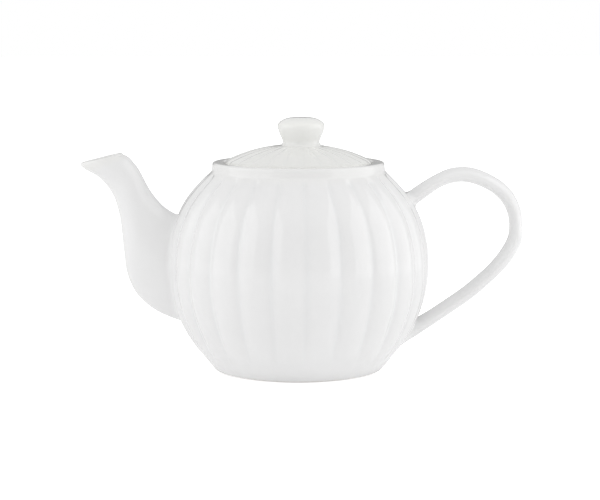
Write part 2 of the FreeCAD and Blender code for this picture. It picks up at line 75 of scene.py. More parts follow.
# crest line of the pot's outside, from the skirt to the petal tips under the collar: radius, level
POT_CREST = np.array([
    (47.9, 1.45), (48.9, 2.6), (50.9, 5.0), (54.1, 9.0), (57.9, 13.6), (62.2, 20.0), (66.4, 28.0),
    (69.4, 36.0), (71.4, 44.0), (72.5, 52.0), (72.75, 58.0), (72.45, 66.0), (71.25, 74.0),
    (69.1, 82.0), (65.8, 90.0), (61.5, 97.0), (57.0, 102.4), (53.7, 105.9), (52.4, 107.2)])
TIP_LEVEL = POT_CREST[-1, 1]

# crest line of the lid's top, from its edge towards the knob: radius, level
LID_CREST = np.array([
    (LID_RADIUS, 113.8), (LID_RADIUS, 114.8), (40.3, 116.1), (39.5, 117.15), (37.9, 118.05),
    (34.9, 119.35), (30.0, 121.25), (25.0, 122.75), (20.0, 123.95), (16.0, 124.65),
    (13.0, 125.1), (10.0, 125.5)])

# knob outline, from its skirt to its top: radius, level
KNOB = [
    (16.0, 124.0), (14.4, 124.4), (12.9, 124.75), (11.7, 125.15), (10.8, 125.8), (10.3, 126.8),
    (10.35, 128.0), (10.75, 129.2), (11.35, 130.5), (12.0, 132.1), (12.6, 133.8), (12.98, 135.2),
    (13.07, 136.1), (12.8, 137.1), (12.25, 137.9), (11.3, 138.75), (9.8, 139.65), (7.9, 140.35),
    (5.2, 140.82), (2.4, 140.98)]

# spout stations, from the lip into the pot:
# lower edge (x, z), upper edge (x, z), half width, fullness of the lower side
SPOUT = [
    ((-121.1, 113.9), (-97.6, 120.1), 7.9, -0.16), ((-119.0, 112.1), (-95.2, 119.1), 8.1, -0.10),
    ((-115.0, 109.9), (-92.9, 116.9), 8.3, -0.05), ((-110.5, 107.0), (-90.7, 114.3), 8.5, 0.0),
    ((-106.0, 102.0), (-88.8, 111.6), 8.6, 0.0), ((-103.0, 97.0), (-87.4, 109.0), 8.7, 0.0),
    ((-101.0, 91.0), (-86.1, 106.4), 8.8, 0.0), ((-99.6, 85.0), (-84.9, 104.0), 8.9, 0.0),
    ((-98.8, 78.5), (-83.5, 101.4), 9.1, 0.0), ((-98.1, 71.0), (-81.9, 98.9), 9.4, 0.0),
    ((-97.3, 63.0), (-80.1, 96.5), 9.8, 0.0), ((-96.4, 55.5), (-78.3, 94.3), 10.2, 0.0),
    ((-94.4, 49.0), (-76.5, 92.3), 10.6, 0.0), ((-91.4, 43.0), (-74.4, 90.5), 11.0, 0.02),
    ((-87.2, 38.2), (-72.0, 88.8), 11.3, 0.05), ((-81.8, 33.7), (-69.4, 87.3), 11.6, 0.08),
    ((-75.5, 30.2), (-66.7, 86.2), 11.8, 0.10), ((-68.5, 27.4), (-63.8, 85.4), 12.0, 0.10),
    ((-61.0, 25.2), (-60.0, 84.6), 12.0, 0.10), ((-54.0, 23.6), (-54.0, 83.8), 12.0, 0.10)]

# handle stations, from the upper root round to the lower root:
# outer edge (x, z), inner edge (x, z), half width
HANDLE = [
    ((48.0, 89.4), (51.6, 82.6), 7.0), ((52.4, 92.4), (56.6, 85.8), 7.0),
    ((56.6, 95.4), (61.3, 89.6), 6.9), ((61.4, 99.2), (66.2, 92.9), 6.8),
    ((66.6, 102.9), (70.9, 96.2), 6.7), ((71.0, 105.8), (74.9, 99.2), 6.6),
    ((76.6, 109.0), (79.6, 102.2), 6.6), ((83.0, 111.9), (84.9, 104.2), 6.5),
    ((91.2, 113.2), (91.0, 104.95), 6.5), ((98.6, 112.3), (96.6, 104.2), 6.4),
    ((106.0, 109.4), (102.6, 102.0), 6.4), ((113.0, 105.3), (108.0, 99.0), 6.3),
    ((118.6, 100.1), (112.4, 95.1), 6.2), ((122.6, 93.4), (115.7, 90.2), 6.2),
    ((124.6, 86.6), (117.5, 84.8), 6.1), ((125.2, 79.6), (117.9, 79.2), 6.1),
    ((124.9, 72.4), (117.2, 74.0), 6.0), ((122.6, 66.6), (115.2, 69.6), 6.0),
    ((118.4, 59.8), (111.6, 64.0), 5.9), ((112.4, 53.0), (106.2, 57.7), 5.9),
    ((105.2, 46.1), (99.4, 51.4), 5.9), ((98.0, 40.0), (92.6, 45.7), 5.9),
    ((91.0, 34.9), (86.0, 40.9), 5.9), ((84.0, 30.1), (79.4, 36.4), 6.0),
    ((77.0, 25.3), (72.6, 31.9), 6.1), ((70.6, 21.0), (66.3, 28.2), 6.2),
    ((64.0, 16.6), (59.9, 24.3), 6.3), ((57.0, 12.6), (53.9, 21.0), 6.4),
    ((50.0, 9.6), (48.0, 18.4), 6.4)]


def detail(full, quick):
    """A segment count or step: the full one; quick is not used."""
    return full


# ------------------------------------------------------------------ curves


def smooth01(t):
    t = np.clip(t, 0, 1)
    return t * t * (3 - 2 * t)


def unit(vectors):
    return vectors / np.linalg.norm(vectors, axis=-1, keepdims=True)


def natural_spline(points, count):
    """Natural cubic spline through points, at count evenly spaced parameters."""
    p = np.asarray(points, float)
    chords = np.sqrt(((p[1:] - p[:-1]) ** 2).sum(1)) ** 0.75
    knots = np.concatenate([[0], np.cumsum(chords)])
    gaps = np.diff(knots)
    size = len(p)
    system = np.zeros((size, size))
    right = np.zeros((size, p.shape[1]))
    system[0, 0] = system[-1, -1] = 1
    for i in range(1, size - 1):
        before, after = gaps[i - 1], gaps[i]
        system[i, i - 1:i + 2] = before, 2 * (before + after), after
        right[i] = 6 * ((p[i + 1] - p[i]) / after - (p[i] - p[i - 1]) / before)
    bend = np.linalg.solve(system, right)
    s = np.linspace(0, knots[-1], count)
    k = np.clip(np.searchsorted(knots, s, side="right") - 1, 0, size - 2)
    to_next = (knots[k + 1] - s)[:, None]
    from_last = (s - knots[k])[:, None]
    gap = gaps[k][:, None]
    return (bend[k] * to_next ** 3 + bend[k + 1] * from_last ** 3) / (6 * gap) \
        + (p[k] / gap - bend[k] * gap / 6) * to_next \
        + (p[k + 1] / gap - bend[k + 1] * gap / 6) * from_last


def resample(points, step):
    """Evenly spaced points along a polyline, about step apart, ends kept."""
    p = np.asarray(points, float)
    lengths = np.sqrt(((p[1:] - p[:-1]) ** 2).sum(1))
    along = np.concatenate([[0], np.cumsum(lengths)])
    count = max(2, int(round(along[-1] / step)) + 1)
    s = np.linspace(0, along[-1], count)
    return np.stack([np.interp(s, along, p[:, i]) for i in range(p.shape[1])], 1)


def rounded(points, radii, step=0.25):
    """Polyline whose corners are rounded: radii[i] is the rounding radius at points[i]."""
    p = [np.array(q, float) for q in points]
    out = [p[0]]
    for before, corner, after, radius in zip(p, p[1:], p[2:], radii[1:]):
        u, v = before - corner, after - corner
        u_length, v_length = np.linalg.norm(u), np.linalg.norm(v)
        u, v = u / u_length, v / v_length
        angle = math.acos(max(-1, min(1, float(u @ v))))
        if radius <= 0 or angle > math.pi - 1e-3:
            out.append(corner)
            continue
        setback = min(radius / math.tan(angle / 2), 0.48 * u_length, 0.48 * v_length)
        radius = setback * math.tan(angle / 2)
        middle = (u + v) / np.linalg.norm(u + v)
        centre = corner + middle * (radius / math.sin(angle / 2))
        start = corner + u * setback - centre
        end = corner + v * setback - centre
        count = max(3, int(math.ceil(radius * (math.pi - angle) / step)) + 1)
        sweep = math.acos(max(-1, min(1, float(start @ end) / (radius * radius))))
        for j in range(count + 1):
            f = j / count
            arm = start * math.sin((1 - f) * sweep) + end * math.sin(f * sweep)
            out.append(centre + arm / math.sin(sweep))
    out.append(p[-1])
    return np.array(out)


# ------------------------------------------------------------------ meshes


def mesh_object(name, vertices, faces, smooth=True):
    mesh = bpy.data.meshes.new(name)
    scaled = np.asarray(vertices, float) * MM
    mesh.from_pydata([tuple(v) for v in scaled], [], faces)
    mesh.validate()
    mesh.update()
    if smooth:
        mesh.polygons.foreach_set("use_smooth", [True] * len(mesh.polygons))
    ob = bpy.data.objects.new(name, mesh)
    bpy.context.scene.collection.objects.link(ob)
    return ob


def face_outwards(ob):
    bm = bmesh.new()
    bm.from_mesh(ob.data)
    bmesh.ops.recalc_face_normals(bm, faces=bm.faces)
    bm.to_mesh(ob.data)
    bm.free()
    ob.data.update()


def grid_faces(rows, columns, wrap=False, flip=False):
    """Quads of a grid closed round the columns and, with wrap, from the last row to the first."""
    faces = []
    for i in range(rows if wrap else rows - 1):
        a = i * columns
        b = (i + 1) % rows * columns
        for j in range(columns):
            k = (j + 1) % columns
            quad = (a + j, a + k, b + k, b + j)
            faces.append(quad[::-1] if flip else quad)
    return faces


def ring_mesh(name, rings, caps=(), flip=False):
    """Skin over rings (rows, columns, 3). caps holds (0 or -1 for the first or last ring, centre);
    without caps the last ring joins the first."""
    rows, columns, _ = rings.shape
    faces = grid_faces(rows, columns, not caps, flip)
    for i, (row, _) in enumerate(caps):
        first = row % rows * columns
        for j in range(columns):
            triangle = (first + j, first + (j + 1) % columns, rows * columns + i)
            faces.append(triangle[::-1] if flip != (row == 0) else triangle)
    vertices = np.vstack([rings.reshape(-1, 3)] + [centre for _, centre in caps])
    return mesh_object(name, vertices, faces)


def mark_glaze(ob, shape, pool=0.0, thin=0.0, inside=0.0, inside_caps=0.0):
    """Point attributes of a ring mesh of this (rows, columns): where the glaze pools, where it is
    thin, and which points are on inner faces. Cap centres get 0, or inside_caps."""
    for name, values, cap_values in (("pool", pool, 0.0), ("thin", thin, 0.0),
                                     ("inside", inside, inside_caps)):
        flat = np.broadcast_to(values, shape).ravel()
        data = np.zeros(len(ob.data.vertices), np.float32)
        data[:flat.size] = flat
        data[flat.size:] = cap_values
        ob.data.attributes.new(name, "FLOAT", "POINT").data.foreach_set("value", data)


def turned(radius, level, angles):
    """Points at radius and level round the Z axis; the arguments broadcast."""
    return np.stack([radius * np.cos(angles), radius * np.sin(angles), level + 0 * angles], -1)


def even_angles(count):
    return np.arange(count) * 2 * math.pi / count


# ------------------------------------------------------------------ the fluted surface

crest_line = natural_spline(POT_CREST, 400)
crest_slope = np.gradient(crest_line[:, 0], crest_line[:, 1])


def crest_radius(z):
    return np.interp(z, crest_line[:, 1], crest_line[:, 0])


def slope_at(z):
    return np.interp(z, crest_line[:, 1], crest_slope)


def groove_shape(theta):
    """0 on a lobe's crest, 1 in the groove; a circular lobe with a glaze-softened groove."""
    u = np.abs(((theta / PITCH + 0.5 + LOBE_SHIFT) % 1.0) - 0.5) * 2
    soft = 0.15               # share of the half lobe that is softened
    edge = (1 - soft) ** 2
    edge_slope = 2 * (1 - soft)
    d = np.clip(u - (1 - soft), 0, None)
    shape = np.where(u < 1 - soft, u * u, edge + edge_slope * d - edge_slope * d * d / (2 * soft))
    return shape / (edge + edge_slope * soft / 2)


def groove_depth(z):
    """Grooves deepen upwards from the skirt and grow shallower near the collar."""
    return POT_GROOVE * smooth01((z - 3.0) / 30.0) * (1 - 0.28 * smooth01((z - 70.0) / 36.0))


def body_radius(theta, z):
    """Outer radius of the fluted pot, below the petal tips."""
    slope = slope_at(z)
    return crest_radius(z) - groove_depth(z) * groove_shape(theta) * np.sqrt(1 + slope * slope)


def body_normal(points):
    """Outward normals of the fluted pot at points (n, 3)."""
    x, y, z = points.T
    theta = np.arctan2(y, x)
    turn, rise = 1e-3, 0.05
    by_turn = (body_radius(theta + turn, z) - body_radius(theta - turn, z)) / (2 * turn)
    by_rise = (body_radius(theta, z + rise) - body_radius(theta, z - rise)) / (2 * rise)
    radial = turned(1.0, 0.0, theta)
    tangent = np.stack([-np.sin(theta), np.cos(theta), np.zeros_like(theta)], 1)
    normal = radial - tangent * (by_turn / np.hypot(x, y))[:, None]
    normal[:, 2] -= by_rise
    return unit(normal)


def body_gap(points):
    """How far outside the pot's surface points (n, 3) are, along the radius."""
    x, y, z = points.T
    return np.hypot(x, y) - body_radius(np.arctan2(y, x), z)


def on_body(points, offset):
    """Points (n, 3) moved along the radius to offset outside the pot's surface."""
    x, y, z = points.T
    theta = np.arctan2(y, x)
    return turned(body_radius(theta, z) + offset, z, theta)


def lobe_angles(per_side):
    """Angles round the pot, closer together at the grooves."""
    u = np.sin(np.linspace(0, 1, per_side + 1) * math.pi / 2) ** 0.9
    u = np.concatenate([-u[::-1][:-1], u])[:-1]
    return np.concatenate([(k + LOBE_SHIFT + 0.5 * u) * PITCH for k in range(LOBES)])


def sink_grooves(radius, level, depth, shape):
    """Radius and level grids of a turned outline, sunk along its normal by depth times shape."""
    dr, dz = np.gradient(radius), np.gradient(level)
    length = np.hypot(dr, dz)
    sunk = depth[:, None] * shape[None, :]
    return (radius[:, None] - (dz / length)[:, None] * sunk,
            level[:, None] + (dr / length)[:, None] * sunk)


# ------------------------------------------------------------------ pot body


def pot_outline():
    """The turned outline from the underside's centre over the rim to the floor, by part."""
    underside = rounded(
        [(0, UNDERSIDE_CENTRE), (30, 3.6), (36.8, 3.0), (FOOT_OUTER, 3.0), (FOOT_OUTER, 0.65),
         (47.3, 0.65), POT_CREST[0]], [0, 6, 0.8, 0.0, 0.35, 0.6, 0])
    wall = resample(crest_line, detail(0.9, 2.0))
    collar = rounded(
        [POT_CREST[-1], (48.45, 110.9), (48.1, 113.2), (47.9, RIM_TOP), (42.7, RIM_TOP),
         (MOUTH_RADIUS, 115.3), (MOUTH_RADIUS, LEDGE_TOP)], [0, 4.4, 1.2, 1.9, 0.9, 0.7, 0])
    ledge = rounded(
        [(MOUTH_RADIUS, LEDGE_TOP), (LEDGE_RADIUS, LEDGE_TOP), (LEDGE_RADIUS, 107.2),
         (41.5, 107.0), (46.2, 106.0)], [0, 0.7, 0.9, 3.0, 0], 0.3)
    inner = [(46.2, 106.0)]
    for z in (104.3, 101.5, 97.0, 91.0, 83.0, 74.0, 64.0, 54.0, 44.0, 34.0, 25.0, 17.5):
        slope = float(slope_at(z))
        stretch = math.hypot(1, slope)
        inner.append((float(crest_radius(z)) - POT_WALL / stretch,
                      z + POT_WALL * slope / stretch))
    inner += [(50.0, 12.6), (43.0, 8.9), (34.0, 7.7)]
    # each part starts on the last point of the one before, except the floor
    return {"underside": underside[1:], "wall": wall[1:], "collar": collar[1:],
            "ledge": ledge[1:], "inner": natural_spline(inner, detail(140, 60))[1:],
            "floor": np.array([(24.0, FLOOR_TOP), (12.0, FLOOR_TOP)])}


def make_pot():
    angles = lobe_angles(detail(12, 6))
    shape = groove_shape(angles)
    parts = pot_outline()
    outline = np.concatenate(list(parts.values()))
    part = np.repeat(list(parts), [len(p) for p in parts.values()])
    radius, level = outline.T
    wall, collar, ledge = part == "wall", part == "collar", part == "ledge"

    depth = np.zeros(len(outline))
    depth[wall] = groove_depth(level[wall])
    # the grooves fade out over the petal tips, outside the collar
    fade = groove_depth(TIP_LEVEL) * (1 - smooth01((level[collar] - TIP_LEVEL) / 3.4))
    depth[collar] = fade * (radius[collar] > 48.2)

    ring_radius, ring_level = sink_grooves(radius, level, depth, shape)
    # the wall follows the radius function that spout and handle are joined to
    ring_radius[wall] = body_radius(angles[None, :], level[wall][:, None])
    ring_level[wall] = level[wall][:, None]
    # notch in the ledge on the handle's side
    across = np.abs(np.where(np.cos(angles) > 0, np.sin(angles), 9) * LEDGE_RADIUS)
    notch = 1 - smooth01((across - (NOTCH_HALF_WIDTH - 0.6)) / 1.2)
    reach = NOTCH_RADIUS - radius[ledge]
    ring_radius[ledge] += (reach * smooth01(reach / 0.5))[:, None] * notch

    ob = ring_mesh("pot_body_glazed", turned(ring_radius, ring_level, angles),
                   [(0, (0, 0, UNDERSIDE_CENTRE)), (-1, (0, 0, FLOOR_TOP))])
    pool = np.clip((shape - 0.55) / 0.45, 0, 1) ** 1.5 * (depth / POT_GROOVE)[:, None]
    rim = np.maximum(smooth01((level - 115.2) / 0.9), 0.6 * smooth01((level - 108.2) / 2.0))
    skirt = 0.7 * smooth01((2.6 - level) / 1.6)
    thin = rim * (collar | ledge) + skirt * (wall | (part == "underside"))
    inside = (part == "inner") | (part == "floor")
    mark_glaze(ob, ring_radius.shape, pool, thin[:, None], inside[:, None], inside_caps=(0, 1))
    return ob


# ------------------------------------------------------------------ tubes: spout and handle


def section_ring(low, high, half_width, fullness, power, columns):
    """Superellipse ring square to the plane y = 0, starting at its high edge. Positive fullness
    widens the low side."""
    angles = even_angles(columns)
    c, s = np.cos(angles), np.sin(angles)
    along = np.sign(c) * np.abs(c) ** (2 / power)
    across = np.sign(s) * np.abs(s) ** (2 / power)
    spine = (low + high) / 2 + (high - low) / 2 * along[:, None]
    return np.stack([spine[:, 0], half_width * across * (1 - fullness * c), spine[:, 1]], 1)


def as_seen(edge):
    """Edge points of spout and handle are given as they appear to a viewer square on. The view is
    turned, so each is moved in the plane y = 0 until it appears in the same place."""
    view_rise, view_distance, aim_x = math.radians(7.3), 1092.0, 0.903

    def appears(x, z, turn):
        right, ahead = x * math.cos(turn) - aim_x, -x * math.sin(turn)
        rise = z - VIEW_AIM_LEVEL
        distance = view_distance + ahead * math.cos(view_rise) - rise * math.sin(view_rise)
        up = ahead * math.sin(view_rise) + rise * math.cos(view_rise)
        return right * view_distance / distance, up * view_distance / distance

    x, z = edge
    goal = appears(x, z, 0.0)
    for _ in range(12):
        now = appears(x, z, VIEW_TURN)
        x, z = x + goal[0] - now[0], z + goal[1] - now[1]
    return np.array([x, z])


def subdivide_rings(rings, count):
    """Natural spline through rings, sampled at count rings."""
    rows, columns, _ = rings.shape
    return natural_spline(rings.reshape(rows, columns * 3), count).reshape(count, columns, 3)


def root_fillet(tube, tube_runout, body_runout, steps=12):
    """Rings of a tube that runs from outside into the pot, cut short to end in a concave fillet
    that runs out on the pot's surface. The run-outs along tube and pot are per column."""
    rows, columns, _ = tube.shape
    gap = np.stack([body_gap(ring) for ring in tube])
    along = np.zeros((rows, columns))
    along[1:] = np.cumsum(np.linalg.norm(tube[1:] - tube[:-1], axis=2), axis=0)
    # where each column meets the pot
    hit, hit_along = np.zeros((columns, 3)), np.zeros(columns)
    for j in range(columns):
        i = int(np.argmax(gap[:, j] < 0))
        t = gap[i - 1, j] / (gap[i - 1, j] - gap[i, j])
        hit[j] = tube[i - 1, j] + (tube[i, j] - tube[i - 1, j]) * t
        hit_along[j] = along[i - 1, j] + (along[i, j] - along[i - 1, j]) * t
    # resample every column from its outer end to the fillet's start
    start = hit_along - tube_runout
    count = int(np.sum(along.mean(1) < start.min() * 0.985)) + 6
    out = []
    for f in np.linspace(0, 1, count):
        out.append(np.array([[np.interp(f * start[j], along[:, j], tube[:, j, axis])
                              for axis in range(3)] for j in range(columns)]))
    fillet_start = out[-1]
    # directions on the pot's surface, away from the tube, evened out round the joint
    around = unit(np.roll(hit, -1, 0) - np.roll(hit, 1, 0))
    away = np.cross(body_normal(hit), around)
    away *= np.median(np.sign(np.sum(away * (hit - hit.mean(0)), axis=1)))
    for _ in range(3):
        away = (np.roll(away, 1, 0) + 2 * away + np.roll(away, -1, 0)) / 4
    away = unit(away)
    fillet_end = on_body(hit + away * body_runout[:, None], 0.0)
    for i in range(1, steps + 1):
        t = i / steps
        ring = (1 - t) ** 2 * fillet_start + 2 * t * (1 - t) * hit + t * t * fillet_end
        clearance = 0.03 - 0.03 * t
        sunk = body_gap(ring) < clearance
        if sunk.any():
            ring[sunk] = on_body(ring[sunk], clearance)
        out.append(ring)
    # the last ring sinks just below the surface
    out.append(on_body(fillet_end + away * 0.5, -0.12))
    return np.array(out)


def inward(ring):
    """Unit vectors from a ring's points to its centre."""
    return unit(ring.mean(0) - ring)


def spout_lip(ring, wall):
    """Rings that roll over from the spout's outer end to its bore."""
    centre = ring.mean(0)
    up = unit(np.cross(ring[len(ring) // 4] - centre, ring[0] - centre))
    if up[2] < 0:
        up = -up
    return [ring + inward(ring) * (wall / 2 * (1 - math.cos(t)))[:, None]
            + up * (wall / 2 * math.sin(t))[:, None] * 1.15
            for t in np.linspace(0, math.pi, 13)[1:-1]]


def spout_bore(stations, lip_wall):
    """Rings of the bore, from the lip to the pot's surface, where the last one sinks in."""
    inner_wall = 3.1
    bore = []
    for i, ring in enumerate(subdivide_rings(stations, 60)):
        blend = smooth01(i / 59.0 * 4)
        wall = lip_wall * (1 - blend) + inner_wall * blend
        ring = ring + inward(ring) * wall[:, None]
        if body_gap(ring).max() > 0.4:
            bore.append(ring)
    end = on_body(bore[-1], -0.1)
    for ring in bore:
        sunk = body_gap(ring) < 0.02
        if sunk.any():
            ring[sunk] = on_body(ring[sunk], 0.02)
    return bore + [end]


def make_spout():
    columns = detail(112, 64)
    stations = np.array([
        section_ring(as_seen(low), as_seen(high), half_width, fullness, 2.0, columns)
        for low, high, half_width, fullness in SPOUT])
    outer = root_fillet(subdivide_rings(stations, 150),
                        tube_runout=np.full(columns, 3.4), body_runout=np.full(columns, 2.2))
    wall = 2.3 + 0.5 * np.clip(-np.cos(even_angles(columns)), 0, 1)   # thicker on the low side
    lip = spout_lip(outer[0], wall)
    rings = np.concatenate([outer[::-1], np.array(lip), np.array(spout_bore(stations, wall))])
    ob = ring_mesh("spout_glazed", rings)

    rows = len(rings)
    lip_start = len(outer)
    lip_end = lip_start + len(lip)
    pool, thin, inside = np.zeros((3, rows, 1))
    pool[:14, 0] = np.linspace(0.6, 0.0, 14)
    thin[lip_start - 6:lip_start - 3, 0] = 0.25, 0.5, 0.75
    thin[lip_start - 3:lip_end + 2] = 1
    inside[lip_end + 2:] = 1
    mark_glaze(ob, (rows, columns), pool, thin, inside)
    return ob


def make_handle():
    columns = detail(72, 40)
    stations = np.array([
        section_ring(as_seen(inner), as_seen(outer), half_width, 0.0, 1.86, columns)
        for outer, inner, half_width in HANDLE])
    tube = subdivide_rings(stations, 230)
    middle = 115
    angles = even_angles(columns)
    side = np.abs(np.sin(angles))
    outer_edge = np.clip(np.cos(angles), 0, 1)
    upper = root_fillet(tube[:middle][::-1], 4.2 + 1.5 * side, 3.0 + 1.0 * side, steps=10)
    lower = root_fillet(tube[middle - 1:], 5.0 + 1.0 * side + 6.0 * outer_edge,
                        2.6 + 1.0 * side + 3.4 * outer_edge)
    rings = np.concatenate([upper[::-1], lower[1:]])
    # the ends are closed inside the pot's wall
    inset = np.array([2.0, 0, 0])
    ob = ring_mesh("handle_glazed", rings,
                   [(row, rings[row].mean(0) - inset) for row in (0, -1)], flip=True)
    pool = np.zeros((len(rings), 1))
    pool[:10, 0] = np.linspace(0.7, 0, 10)
    pool[-10:, 0] = np.linspace(0, 0.7, 10)
    seams = np.clip((side - 0.97) / 0.03, 0, 1) * 0.35      # along both sides
    mark_glaze(ob, (len(rings), columns), pool, seams)
    return ob


# ------------------------------------------------------------------ lid, knob, tab, foot


def make_lid():
    angles = lobe_angles(detail(8, 5))
    shape = groove_shape(angles)
    under = natural_spline(
        [(6.0, 120.8), (12.0, 120.5), (18.0, 119.5), (24.0, 117.9), (28.5, 116.2), (31.2, 114.5),
         (FLANGE_INNER, 112.0), (FLANGE_INNER, 109.5)], detail(40, 20))
    top = natural_spline(LID_CREST, detail(60, 30))[1:]
    outline = np.concatenate([
        under,
        resample([(FLANGE_INNER, 109.5), (FLANGE_INNER, 103.0)], 1.2)[1:],
        rounded([(FLANGE_INNER, 103.0), (FLANGE_INNER, FLANGE_BOTTOM),
                 (FLANGE_OUTER, FLANGE_BOTTOM), (FLANGE_OUTER, 103.0)], [0, 1.2, 1.2, 0])[1:],
        resample([(FLANGE_OUTER, 103.0), (FLANGE_OUTER, 110.0)], 1.2)[1:],
        rounded([(FLANGE_OUTER, 110.0), (FLANGE_OUTER, LID_SEAT), (39.9, LID_SEAT),
                 (LID_RADIUS, 112.2), (LID_RADIUS, 113.6)], [0, 0.9, 0.5, 0.6, 0])[1:],
        top])
    radius, level = outline.T
    # grooves start above the edge and fade out towards the knob
    depth = np.zeros(len(outline))
    depth[-len(top):] = LID_GROOVE * smooth01((top[:, 1] - 114.2) / 3.0) \
        * smooth01((top[:, 0] - 12.0) / 12.0) ** 0.8
    ring_radius, ring_level = sink_grooves(radius, level, depth, shape)
    ob = ring_mesh("lid_glazed", turned(ring_radius, ring_level, angles),
                   [(0, (0, 0, 121.0)), (-1, (0, 0, 125.5))])
    pool = np.clip((shape - 0.5) / 0.5, 0, 1) ** 1.5 * (depth / LID_GROOVE)[:, None]
    thin = np.exp(-(np.hypot(radius - 40.2, level - 115.3) / 0.9) ** 2)
    inside = np.arange(len(outline)) < len(under) + 8
    mark_glaze(ob, ring_radius.shape, pool, thin[:, None], inside[:, None], inside_caps=(1, 0))
    return ob


def lid_level(radius):
    return np.interp(radius, LID_CREST[::-1, 0], LID_CREST[::-1, 1])


def make_knob():
    columns = detail(96, 48)
    outline = natural_spline(KNOB, detail(90, 40))
    radius, level = outline[:, :1], outline[:, 1:]
    rings = turned(radius, level, even_angles(columns))
    rings[..., 0] += KNOB_OFFSET
    # the skirt follows the lid's slope all round and sinks just below its surface
    slope_shift = lid_level(np.hypot(rings[..., 0], rings[..., 1])) - lid_level(radius)
    rings[..., 2] += (1 - smooth01((level - 124.0) / 2.0)) * slope_shift
    rings[0, :, 2] -= 0.45
    ob = ring_mesh("lid_knob_glazed", rings,
                   [(-1, (KNOB_OFFSET, 0, 141.0)), (0, (KNOB_OFFSET, 0, 123.0))])
    pool = np.exp(-((level - 126.4) / 1.2) ** 2) * 0.6      # at the neck
    thin = np.exp(-((level - 137.2) / 1.0) ** 2) * 0.6      # round the upper edge
    mark_glaze(ob, (len(rings), columns), pool, thin)
    return ob


def make_tab():
    """Lug on the flange: a short curved block with rounded edges, let into the flange."""
    inner, outer, bottom, top = 34.6, 39.85, 102.1, 105.7
    middle = 103.9
    half_angle = 6.0 / 37.8
    section = rounded([(inner, bottom), (outer, bottom), (outer, top), (inner, top)],
                      [0, 1.1, 1.1, 0], 0.3)
    rings = []
    for t in np.linspace(-1, 1, 25):
        # 1 along the lug, falling to 0 at its ends
        full = math.sqrt(max(0.0, 1 - max(0.0, (abs(t) - 0.86) / 0.14) ** 2))
        radius = inner + (section[:, 0] - inner) * (0.80 + 0.20 * full)
        level = middle + (section[:, 1] - middle) * (0.70 + 0.30 * full)
        rings.append(turned(radius, level, t * half_angle))
    rings = np.array(rings)
    ob = ring_mesh("lid_lock_tab_glazed", rings, [(row, rings[row].mean(0)) for row in (0, -1)])
    mark_glaze(ob, rings.shape[:2])
    return ob


def make_foot():
    outline = rounded(
        [(FOOT_OUTER, FOOT_TOP), (FOOT_OUTER, 0.0), (FOOT_INNER, 0.0), (FOOT_INNER, FOOT_TOP),
         (FOOT_OUTER, FOOT_TOP)], [0, 0.9, 1.1, 0.0, 0], 0.2)[:-1]
    rings = turned(outline[:, :1], outline[:, 1:], even_angles(detail(220, 110)))
    return ring_mesh("foot_ring_bare", rings)


# ------------------------------------------------------------------ holes


def cutter_cylinder(radius, start, end, columns=28):
    start, end = np.array(start, float), np.array(end, float)
    axis = unit(end - start)
    u = unit(np.cross(axis, [0, 0, 1.0]))
    v = np.cross(axis, u)
    angles = even_angles(columns)
    ring = radius * (np.cos(angles)[:, None] * u + np.sin(angles)[:, None] * v)
    faces = [tuple(range(columns))[::-1], tuple(range(columns, 2 * columns))]
    faces += grid_faces(2, columns)
    ob = mesh_object("cutter", np.concatenate([start + ring, end + ring]), faces, smooth=False)
    face_outwards(ob)
    return ob


def upright_cutter(radius, x, y, bottom, top, columns=28):
    """Vertical cylinder whose rings start at -Y."""
    angles = even_angles(columns)
    ring = radius * np.stack([-np.sin(angles) * -1, -np.cos(angles), 0 * angles], 1)
    faces = [tuple(range(columns))[::-1], tuple(range(columns, 2 * columns))]
    faces += grid_faces(2, columns)
    ends = [ring + (x, y, bottom), ring + (x, y, top)]
    ob = mesh_object("cutter", np.concatenate(ends), faces, smooth=False)
    face_outwards(ob)
    return ob


def cut(ob, cutters):
    """Cuts closed meshes out of ob and applies the result."""
    for cutter in cutters:
        modifier = ob.modifiers.new("cut", "BOOLEAN")
        modifier.operation = "DIFFERENCE"
        modifier.solver = "EXACT"
        modifier.object = cutter
    evaluated = ob.evaluated_get(bpy.context.evaluated_depsgraph_get())
    mesh = bpy.data.meshes.new_from_object(evaluated)
    ob.modifiers.clear()
    old = ob.data
    ob.data = mesh
    bpy.data.meshes.remove(old)
    for cutter in cutters:
        bpy.data.objects.remove(cutter)


def strainer_cutters():
    """Staggered rows of holes through the pot's wall behind the spout, from the bottom row up."""
    pitch, row_rise, bottom_row = 5.6, 7.0, 46.0
    cutters = []
    for row, count in enumerate((3, 2, 3, 2, 1)):
        z = bottom_row + row * row_rise
        for i in range(count):
            y = (i - (count - 1) / 2) * pitch
            cutters.append(cutter_cylinder(2.2, (-80, y, z), (-58, y, z)))
    return cutters


pot = make_pot()
spout = make_spout()
handle = make_handle()
lid = make_lid()
knob = make_knob()
tab = make_tab()
foot = make_foot()
for piece in (pot, spout, handle, lid, knob, tab, foot):
    face_outwards(piece)
cut(pot, strainer_cutters())
# a hole through the lid, on its +Y side
cut(lid, [upright_cutter(1.6, x=0, y=26.0, bottom=112.0, top=128.0)])

# ------------------------------------------------------------------ shader nodes


